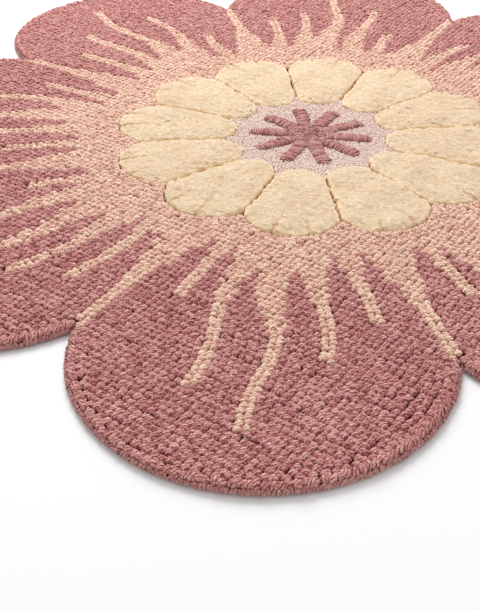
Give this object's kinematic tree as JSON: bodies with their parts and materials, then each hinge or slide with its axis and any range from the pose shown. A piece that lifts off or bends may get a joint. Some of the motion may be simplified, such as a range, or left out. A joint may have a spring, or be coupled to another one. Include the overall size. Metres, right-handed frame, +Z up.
{
  "type": "round hand-tufted rug",
  "caption": "Round scalloped hand-tufted rug: loop-pile field, raised cut-pile petal ring, low loop eye with raised stamens, and a yarn-whipped edge.",
  "frame": {"origin": "middle of the flat underside, on the surface that the rug lies on", "axes": "+Z up through the pile, -Y towards the front scallop, +X to the right"},
  "size_m": [1.5021, 1.498, 0.0155],
  "materials": {
    "rose_loop_pile": "dusty rose and peach-beige wool loops, matt",
    "cream_cut_pile": "cream wool cut pile, velvety",
    "lilac_loop_pile": "fine pale lilac-grey wool loops, matt",
    "edge_yarn": "dusty rose wool yarn whipped over the edge, matt",
    "backing_canvas": "natural plain-woven cotton canvas"
  },
  "bodies": {
    "root": {"tufted_rug": "rose_loop_pile", "edge_whipping_1": "edge_yarn", "edge_whipping_2": "edge_yarn", "edge_whipping_3": "edge_yarn", "edge_whipping_4": "edge_yarn", "edge_whipping_5": "edge_yarn", "edge_whipping_6": "edge_yarn", "edge_whipping_7": "edge_yarn", "edge_whipping_8": "edge_yarn"}
  },
  "joints": []
}
